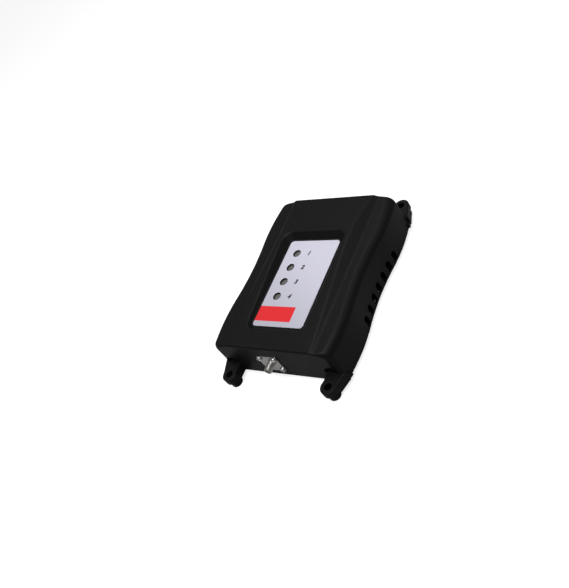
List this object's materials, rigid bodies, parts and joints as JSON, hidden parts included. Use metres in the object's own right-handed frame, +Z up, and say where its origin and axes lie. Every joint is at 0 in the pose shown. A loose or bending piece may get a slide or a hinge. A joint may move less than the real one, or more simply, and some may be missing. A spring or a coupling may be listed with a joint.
{
  "type": "cellular signal booster",
  "caption": "Low moulded signal-booster case with waisted sides, arched top, recessed light panel, screw-down corner ears and a threaded antenna jack at each end.",
  "frame": {"origin": "middle of the rectangle round the case and its ears, on the plane that the four feet stand on", "axes": "+Y along the case from the inside-antenna jack towards the outside-antenna jack and power socket, +X across towards the blank side of the light panel, +Z up out of the light panel"},
  "size_m": [0.1158, 0.1812, 0.042],
  "materials": {
    "housing_plastic": "fine mould texture, satin",
    "base_aluminium": "black anodised, satin",
    "dark_screw": "satin",
    "label_metal": "satin, with one bare printed band",
    "light_pipe": "smoked, smooth",
    "diode": "smooth",
    "board": "satin lacquer",
    "steel": "satin",
    "spreader": "bare, satin",
    "thermal_pad": "matt",
    "shield": "tinned, satin",
    "ceramic": "matt",
    "chip": "matt",
    "ferrite": "matt",
    "capacitor_can": "satin",
    "nickel": "satin nickel plate",
    "insulator": "smooth",
    "gold": "gold plate",
    "socket_plastic": "matt"
  },
  "bodies": {
    "root": {"housing": "housing_plastic", "base_plate": "base_aluminium", "base_screws": "dark_screw", "label_plate": "label_metal", "light_pipe_1": "light_pipe", "light_pipe_2": "light_pipe", "light_pipe_3": "light_pipe", "light_pipe_4": "light_pipe", "status_leds": "diode", "main_board": "board", "board_standoffs": "steel", "board_screws": "steel", "heat_spreader": "spreader", "thermal_pads": "thermal_pad", "uplink_shield_frame": "shield", "uplink_shield_lid": "shield", "downlink_shield_frame": "shield", "downlink_shield_lid": "shield", "band_filters": "ceramic", "uplink_amplifier": "chip", "downlink_amplifier": "chip", "control_chip": "chip", "voltage_regulator": "chip", "power_inductor": "ferrite", "power_capacitors": "capacitor_can", "power_jack_body": "socket_plastic", "power_jack_pin": "nickel", "power_jack_spring": "steel", "inside_jack_body": "nickel", "inside_jack_insulator": "insulator", "inside_jack_contact": "gold", "inside_jack_screws": "steel", "outside_jack_body": "nickel", "outside_jack_insulator": "insulator", "outside_jack_contact": "gold", "outside_jack_screws": "steel"}
  },
  "joints": []
}
